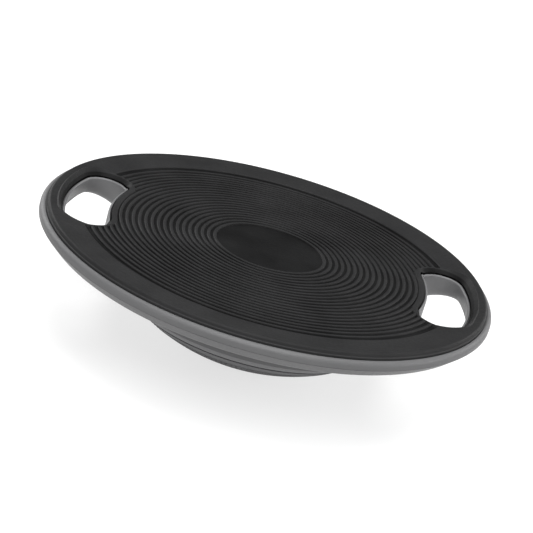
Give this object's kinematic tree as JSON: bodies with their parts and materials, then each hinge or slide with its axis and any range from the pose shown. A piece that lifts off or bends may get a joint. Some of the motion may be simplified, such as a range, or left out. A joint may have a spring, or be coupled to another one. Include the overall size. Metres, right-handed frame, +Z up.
{
  "type": "balance board",
  "caption": "Round wobble board with a ridged rubber top mat, grey plastic shells, two hand holes and a spherical rocker foot underneath.",
  "frame": {"origin": "centre of the flat rest face at the bottom of the rocker foot, on the floor", "axes": "+Z up through the middle of the board, +X through the middle of the hand holes"},
  "size_m": [0.4, 0.4, 0.1027],
  "materials": {
    "mat_rubber": "matt black thermoplastic rubber with a fine grain",
    "shell_grey": "mid-grey moulded plastic, fine satin texture",
    "liner_grey": "light-grey moulded plastic, smooth",
    "dome_grey": "dark-grey moulded plastic, fine satin texture",
    "cap_rubber": "dark-grey rubber with a round tread",
    "screw_steel": "zinc-plated steel"
  },
  "bodies": {
    "root": {"top_mat": "mat_rubber", "deck_shell": "shell_grey", "base_shell": "shell_grey", "right_handle_liner": "liner_grey", "left_handle_liner": "liner_grey", "rocker_dome": "dome_grey", "dome_grip_cap": "cap_rubber", "shell_screws": "screw_steel", "dome_screws": "screw_steel"}
  },
  "joints": []
}
